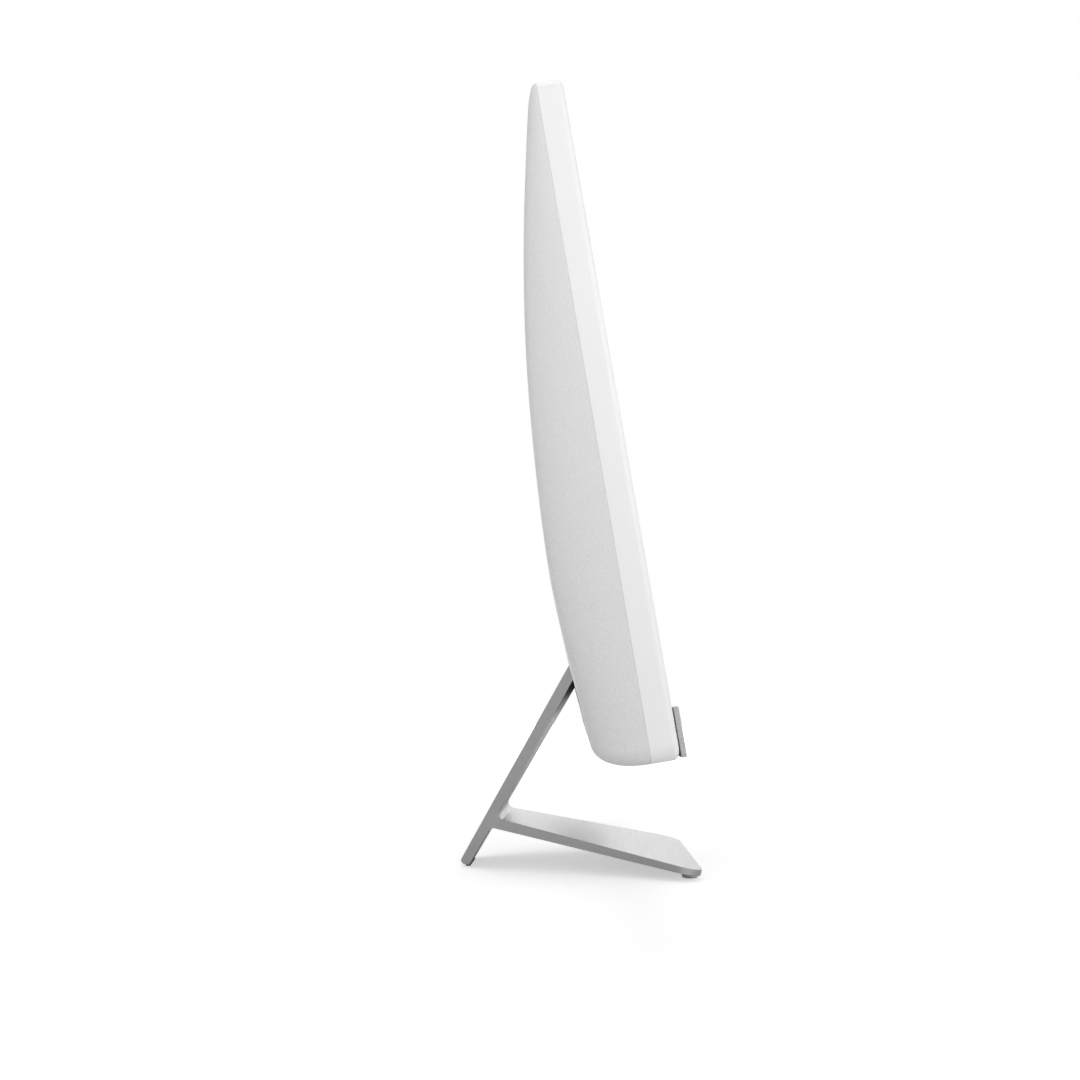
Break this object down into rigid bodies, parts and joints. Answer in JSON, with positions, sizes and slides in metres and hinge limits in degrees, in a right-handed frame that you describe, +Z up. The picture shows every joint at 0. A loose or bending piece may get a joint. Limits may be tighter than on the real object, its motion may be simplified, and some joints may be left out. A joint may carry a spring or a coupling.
{
  "type": "all in one pc",
  "caption": "Desktop computer built into a wide screen that tilts on a bent aluminium plate stand, with rear ports and a fan inside.",
  "frame": {"origin": "on the desk, under the middle of the whole object", "axes": "+X to the viewer's right when facing the screen, -Y out of the screen towards the viewer, +Z up"},
  "size_m": [0.4894, 0.1541, 0.3925],
  "materials": {
    "white_plastic": "satin white",
    "cover_plastic": "light grey, fine moulded texture",
    "speaker_mesh": "grey woven mesh",
    "aluminium": "satin",
    "rubber": "matt black",
    "screen_glass": "gloss black",
    "film": "clear white sheet",
    "circuit_board": "green solder resist",
    "copper": "bare copper",
    "chip": "nickel plated",
    "dark_plastic": "matt black",
    "steel": "plain"
  },
  "bodies": {
    "stand": {"stand": "aluminium", "foot_pad_left": "rubber", "foot_pad_right": "rubber", "leg_pad": "rubber"},
    "display": {"antenna_left": "circuit_board", "antenna_right": "circuit_board", "audio_socket": "dark_plastic", "backlight_tray": "steel", "coin_cell": "steel", "cold_plate": "copper", "dc_inlet": "dark_plastic", "diffuser_sheet": "film", "drive_tray": "steel", "fan_housing": "dark_plastic", "fan_spindle": "steel", "friction_washer_left": "steel", "friction_washer_right": "steel", "front_frame": "white_plastic", "hard_disk": "aluminium", "hdmi_socket": "steel", "heat_pipe": "copper", "heat_sink_fins": "aluminium", "hinge_base": "steel", "hinge_nut_left": "steel", "hinge_nut_right": "steel", "hinge_screw_1": "steel", "hinge_screw_2": "steel", "hinge_screw_3": "steel", "hinge_screw_4": "steel", "hinge_shaft": "steel", "inner_chassis": "steel", "lcd_panel": "screen_glass", "led_strip": "circuit_board", "light_guide": "film", "lock_plate": "steel", "memory_module_1": "circuit_board", "memory_module_2": "circuit_board", "memory_socket_1": "dark_plastic", "memory_socket_2": "dark_plastic", "motherboard": "circuit_board", "network_socket": "steel", "port_bay": "dark_plastic", "power_switch": "dark_plastic", "processor": "chip", "rear_cover": "cover_plastic", "slot_trim": "dark_plastic", "solid_state_drive": "circuit_board", "speaker_bar": "speaker_mesh", "speaker_left": "dark_plastic", "speaker_right": "dark_plastic", "usb_socket_1": "steel", "usb_socket_2": "steel", "usb_socket_3": "steel", "usb_socket_4": "steel", "webcam_board": "circuit_board", "webcam_lens": "screen_glass", "wireless_card": "circuit_board"},
    "power_button": {"power_button": "white_plastic"},
    "fan_rotor": {"fan_rotor": "dark_plastic"}
  },
  "joints": [
    {"name": "tilt", "type": "hinge", "parent": "stand", "child": "display", "pos_m": [0, -0.00186, 0.13517], "axis": [-1, 0, 0], "range_deg": [-14, 11]},
    {"name": "power_press", "type": "slide", "parent": "display", "child": "power_button", "axis": [-1, 0, 0], "range_m": [0, 0.0008], "stiffness_N_per_m": 500, "springref_m": -0.001},
    {"name": "fan_spin", "type": "hinge", "parent": "display", "child": "fan_rotor", "pos_m": [-0.058, 0.00485, 0.2531], "axis": [0, 0.9872, -0.1597], "continuous": true}
  ]
}
